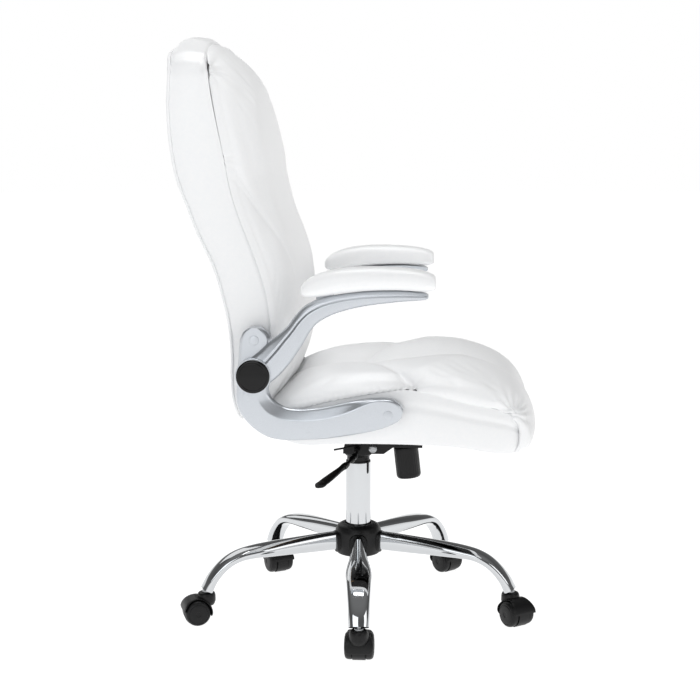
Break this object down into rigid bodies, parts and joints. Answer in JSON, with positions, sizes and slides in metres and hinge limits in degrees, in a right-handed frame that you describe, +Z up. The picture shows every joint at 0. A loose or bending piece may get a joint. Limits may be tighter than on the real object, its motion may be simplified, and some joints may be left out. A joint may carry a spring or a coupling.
{
  "type": "swivel office chair",
  "caption": "High-back swivel office chair with padded flip-up arms, a tilting and height-adjustable seat and a star base on twin-wheel casters.",
  "frame": {"origin": "on the floor under the middle of the whole chair's box; the column axis stands 5 mm ahead of it (+X)", "axes": "+Z up, the sitter faces +X, +Y is the sitter's left"},
  "size_m": [0.6963, 0.6491, 1.131],
  "materials": {
    "white_leather": "satin",
    "silver_paint": "satin",
    "chrome_plating": "polished",
    "black_plastic": "satin",
    "gloss_black": "gloss",
    "black_paint": "satin",
    "bare_steel": "satin",
    "plywood": "matte",
    "lining_cloth": "matte"
  },
  "bodies": {
    "base": {"base_hub": "black_paint", "hub_cover": "black_plastic", "leg_1": "chrome_plating", "leg_2": "chrome_plating", "leg_3": "chrome_plating", "leg_4": "chrome_plating", "leg_5": "chrome_plating", "lift_outer_tube": "chrome_plating", "lift_bush": "black_plastic", "thrust_bearing": "bare_steel", "caster_stem_1": "bare_steel", "caster_stem_2": "bare_steel", "caster_stem_3": "bare_steel", "caster_stem_4": "bare_steel", "caster_stem_5": "bare_steel"},
    "caster_1": {"caster_hood_1": "black_plastic", "caster_axle_1": "bare_steel"},
    "wheel_1a": {"caster_wheel_1a": "black_plastic"},
    "wheel_1b": {"caster_wheel_1b": "black_plastic"},
    "caster_2": {"caster_hood_2": "black_plastic", "caster_axle_2": "bare_steel"},
    "wheel_2a": {"caster_wheel_2a": "black_plastic"},
    "wheel_2b": {"caster_wheel_2b": "black_plastic"},
    "caster_3": {"caster_hood_3": "black_plastic", "caster_axle_3": "bare_steel"},
    "wheel_3a": {"caster_wheel_3a": "black_plastic"},
    "wheel_3b": {"caster_wheel_3b": "black_plastic"},
    "caster_4": {"caster_hood_4": "black_plastic", "caster_axle_4": "bare_steel"},
    "wheel_4a": {"caster_wheel_4a": "black_plastic"},
    "wheel_4b": {"caster_wheel_4b": "black_plastic"},
    "caster_5": {"caster_hood_5": "black_plastic", "caster_axle_5": "bare_steel"},
    "wheel_5a": {"caster_wheel_5a": "black_plastic"},
    "wheel_5b": {"caster_wheel_5b": "black_plastic"},
    "lift_rod": {"piston_rod": "bare_steel"},
    "lift": {"gas_cylinder": "chrome_plating", "tilt_housing": "black_paint", "tilt_pin": "bare_steel", "tension_spring": "bare_steel"},
    "tension_knob": {"tension_knob": "black_plastic"},
    "lever_sleeve": {"lever_sleeve": "black_paint"},
    "lever": {"lift_lever": "black_plastic"},
    "seat": {"seat_plate": "black_paint", "seat_lining": "lining_cloth", "seat_board": "plywood", "seat_cushion": "white_leather", "back_panel": "white_leather", "back_board": "plywood", "back_core": "white_leather", "back_cushion": "white_leather", "head_cushion": "white_leather", "bracket_right": "silver_paint", "bracket_left": "silver_paint"},
    "arm_right": {"arm_frame_right": "silver_paint", "arm_pad_right": "white_leather", "pivot_cap_right": "gloss_black"},
    "arm_left": {"arm_frame_left": "silver_paint", "arm_pad_left": "white_leather", "pivot_cap_left": "gloss_black"}
  },
  "joints": [
    {"name": "caster_swivel_1", "type": "hinge", "parent": "base", "child": "caster_1", "pos_m": [0.02138, -0.31257, 0], "axis": [0, 0, 1], "continuous": true},
    {"name": "wheel_spin_1a", "type": "hinge", "parent": "caster_1", "child": "wheel_1a", "pos_m": [0.02138, -0.29257, 0.025], "axis": [-1, 0, 0], "continuous": true},
    {"name": "wheel_spin_1b", "type": "hinge", "parent": "caster_1", "child": "wheel_1b", "pos_m": [0.02138, -0.29257, 0.025], "axis": [-1, 0, 0], "continuous": true},
    {"name": "caster_swivel_2", "type": "hinge", "parent": "base", "child": "caster_2", "pos_m": [0.30734, -0.08101, 0], "axis": [0, 0, 1], "continuous": true},
    {"name": "wheel_spin_2a", "type": "hinge", "parent": "caster_2", "child": "wheel_2a", "pos_m": [0.31852, -0.09759, 0.025], "axis": [0.829, 0.5592, 0], "continuous": true},
    {"name": "wheel_spin_2b", "type": "hinge", "parent": "caster_2", "child": "wheel_2b", "pos_m": [0.31852, -0.09759, 0.025], "axis": [0.829, 0.5592, 0], "continuous": true},
    {"name": "caster_swivel_3", "type": "hinge", "parent": "base", "child": "caster_3", "pos_m": [0.17547, 0.2625, 0], "axis": [0, 0, 1], "continuous": true},
    {"name": "wheel_spin_3a", "type": "hinge", "parent": "caster_3", "child": "wheel_3a", "pos_m": [0.18885, 0.24764, 0.025], "axis": [0.7431, 0.6691, 0], "continuous": true},
    {"name": "wheel_spin_3b", "type": "hinge", "parent": "caster_3", "child": "wheel_3b", "pos_m": [0.18885, 0.24764, 0.025], "axis": [0.7431, 0.6691, 0], "continuous": true},
    {"name": "caster_swivel_4", "type": "hinge", "parent": "base", "child": "caster_4", "pos_m": [-0.19198, 0.24325, 0], "axis": [0, 0, 1], "continuous": true},
    {"name": "wheel_spin_4a", "type": "hinge", "parent": "caster_4", "child": "wheel_4a", "pos_m": [-0.18198, 0.22593, 0.025], "axis": [0.866, 0.5, 0], "continuous": true},
    {"name": "wheel_spin_4b", "type": "hinge", "parent": "caster_4", "child": "wheel_4b", "pos_m": [-0.18198, 0.22593, 0.025], "axis": [0.866, 0.5, 0], "continuous": true},
    {"name": "caster_swivel_5", "type": "hinge", "parent": "base", "child": "caster_5", "pos_m": [-0.28721, -0.11217, 0], "axis": [0, 0, 1], "continuous": true},
    {"name": "wheel_spin_5a", "type": "hinge", "parent": "caster_5", "child": "wheel_5a", "pos_m": [-0.30612, -0.11868, 0.025], "axis": [0.3256, -0.9455, 0], "continuous": true},
    {"name": "wheel_spin_5b", "type": "hinge", "parent": "caster_5", "child": "wheel_5b", "pos_m": [-0.30612, -0.11868, 0.025], "axis": [0.3256, -0.9455, 0], "continuous": true},
    {"name": "seat_swivel", "type": "hinge", "parent": "base", "child": "lift_rod", "pos_m": [0.005, 0, 0.2], "axis": [0, 0, 1], "continuous": true},
    {"name": "seat_height", "type": "slide", "parent": "lift_rod", "child": "lift", "axis": [0, 0, 1], "range_m": [0, 0.1]},
    {"name": "tension_turn", "type": "hinge", "parent": "lift", "child": "tension_knob", "pos_m": [0.0995, 0, 0.334], "axis": [-0.1132, 0, 0.9936], "range_deg": [0, 720]},
    {"name": "lever_lift", "type": "hinge", "parent": "lift", "child": "lever_sleeve", "pos_m": [0.005, -0.042, 0.336], "axis": [-1, 0, 0], "range_deg": [0, 4], "stiffness_Nm_per_rad": 2, "springref_deg": -5.73},
    {"name": "tilt_lock_slide", "type": "slide", "parent": "lever_sleeve", "child": "lever", "axis": [0, -1, 0], "range_m": [0, 0.008]},
    {"name": "seat_tilt", "type": "hinge", "parent": "lift", "child": "seat", "pos_m": [0.036, 0, 0.337], "axis": [0, -1, 0], "range_deg": [0, 14], "stiffness_Nm_per_rad": 160, "springref_deg": -22.92},
    {"name": "arm_flip_right", "type": "hinge", "parent": "seat", "child": "arm_right", "pos_m": [-0.166, -0.3003, 0.522], "axis": [0, -1, 0], "range_deg": [0, 90]},
    {"name": "arm_flip_left", "type": "hinge", "parent": "seat", "child": "arm_left", "pos_m": [-0.166, 0.3003, 0.522], "axis": [0, -1, 0], "range_deg": [0, 90]}
  ]
}
